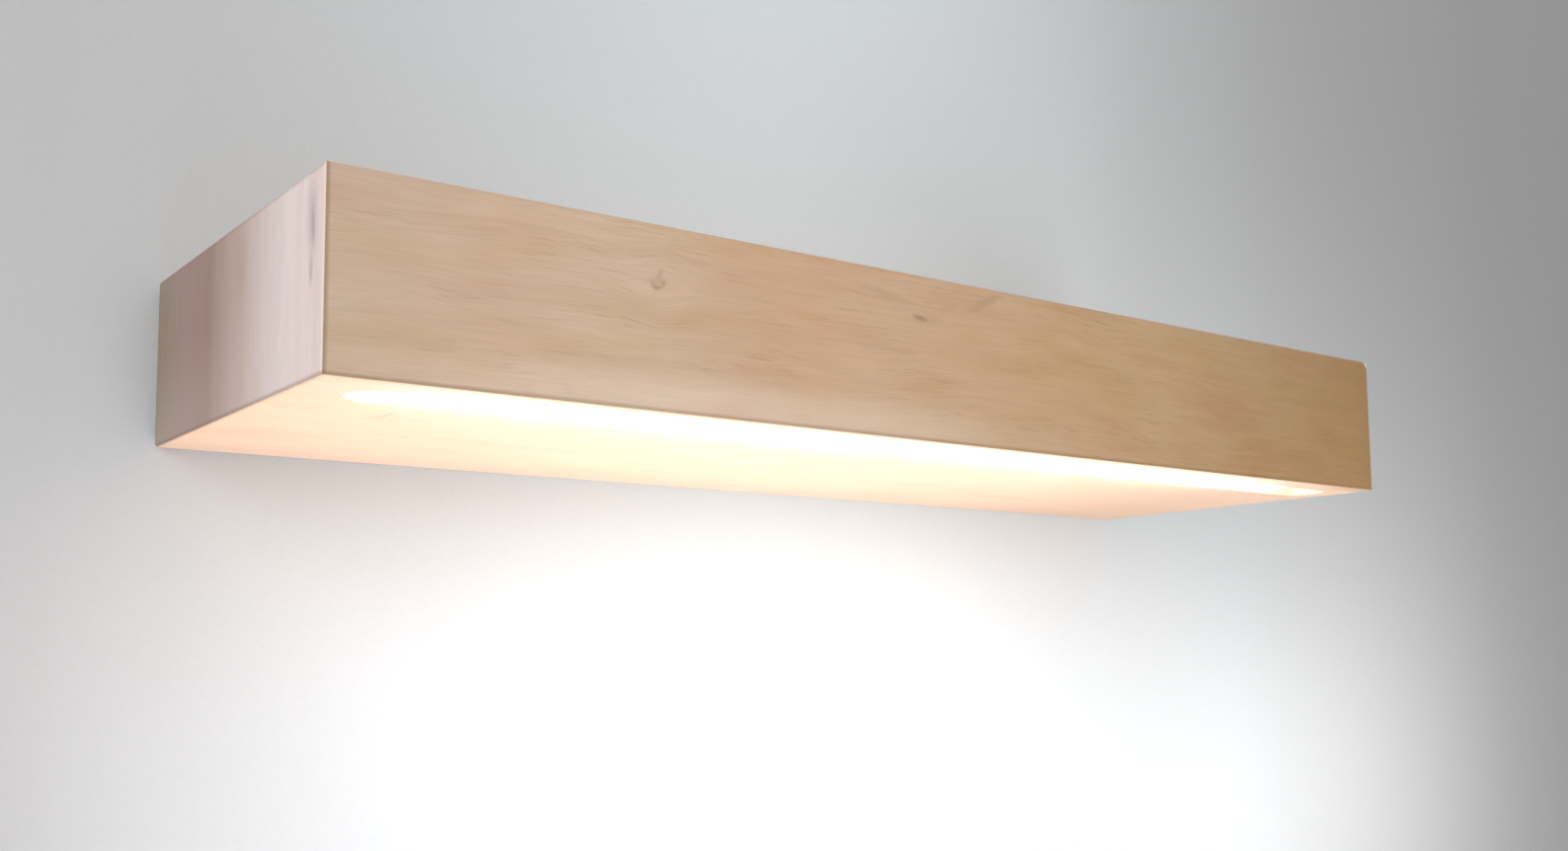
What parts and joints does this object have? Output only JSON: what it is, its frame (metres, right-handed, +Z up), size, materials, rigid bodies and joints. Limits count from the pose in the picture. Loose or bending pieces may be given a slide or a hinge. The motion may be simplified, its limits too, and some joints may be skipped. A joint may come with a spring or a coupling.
{
  "type": "wall lamp with shelf",
  "caption": "Hollow hardwood shelf with mitred corners that slides onto a hidden steel wall bracket and lights the wall through a slot in its underside.",
  "frame": {"origin": "middle of the wall bracket's screw pattern, on the face of the wall, at mid height of the shelf", "axes": "+X along the wall to the right as seen from the room, +Y into the wall, +Z up"},
  "size_m": [0.6, 0.2, 0.073],
  "materials": {
    "hardwood_long": "waxed, grain along the shelf",
    "hardwood_end": "waxed, grain upright",
    "tongue_wood": "planed",
    "block_wood": "sawn",
    "plywood": "sanded birch plywood",
    "zinc_steel": "zinc plated sheet",
    "bright_steel": "drawn bar",
    "screw_steel": "zinc plated",
    "brass": "turned",
    "grommet_rubber": "moulded",
    "anodised_aluminium": "satin anodised extrusion",
    "end_cap_plastic": "moulded",
    "strip_film": "white coated film",
    "led_phosphor": "cast silicone over phosphor",
    "opal_acrylic": "opal, satin",
    "bush_plastic": "moulded",
    "lead_sheath": "extruded sheath",
    "driver_plastic": "moulded, fine texture",
    "circuit_laminate": "lacquered glass laminate",
    "connector_plastic": "moulded",
    "ferrite": "sintered",
    "copper_winding": "enamelled wire",
    "capacitor_sleeve": "shrunk sleeve",
    "terminal_plastic": "moulded polyamide"
  },
  "bodies": {
    "wall_bracket": {"bracket_plate": "zinc_steel", "bracket_rods": "bright_steel", "bracket_grommet": "grommet_rubber", "earth_screw": "brass", "earth_washer": "screw_steel"},
    "shelf": {"top_board": "hardwood_long", "bottom_board": "hardwood_long", "front_board": "hardwood_long", "left_end_board": "hardwood_end", "right_end_board": "hardwood_end", "front_tongues": "tongue_wood", "end_tongues": "tongue_wood", "upright_tongues": "tongue_wood", "corner_blocks": "block_wood", "left_rod_block": "block_wood", "right_rod_block": "block_wood", "back_panel": "plywood", "back_panel_screws": "screw_steel", "panel_grommet": "grommet_rubber", "led_channel": "anodised_aluminium", "channel_end_caps": "end_cap_plastic", "channel_screws": "screw_steel", "led_strip": "strip_film", "led_chips": "led_phosphor", "diffuser": "opal_acrylic", "lead_bush": "bush_plastic", "led_lead": "lead_sheath", "driver_case": "driver_plastic", "driver_cover": "driver_plastic", "driver_cover_screws": "screw_steel", "driver_fixing_screws": "screw_steel", "driver_board": "circuit_laminate", "driver_connectors": "connector_plastic", "transformer_core": "ferrite", "transformer_winding": "copper_winding", "driver_capacitors": "capacitor_sleeve", "driver_choke": "copper_winding", "terminal_block": "terminal_plastic", "terminal_clamps": "brass", "terminal_screws": "screw_steel", "terminal_fixing_screws": "screw_steel", "mains_lead": "lead_sheath"}
  },
  "joints": [
    {"name": "shelf_slide", "type": "slide", "parent": "wall_bracket", "child": "shelf", "axis": [0, -1, 0], "range_m": [0, 0.14]}
  ]
}
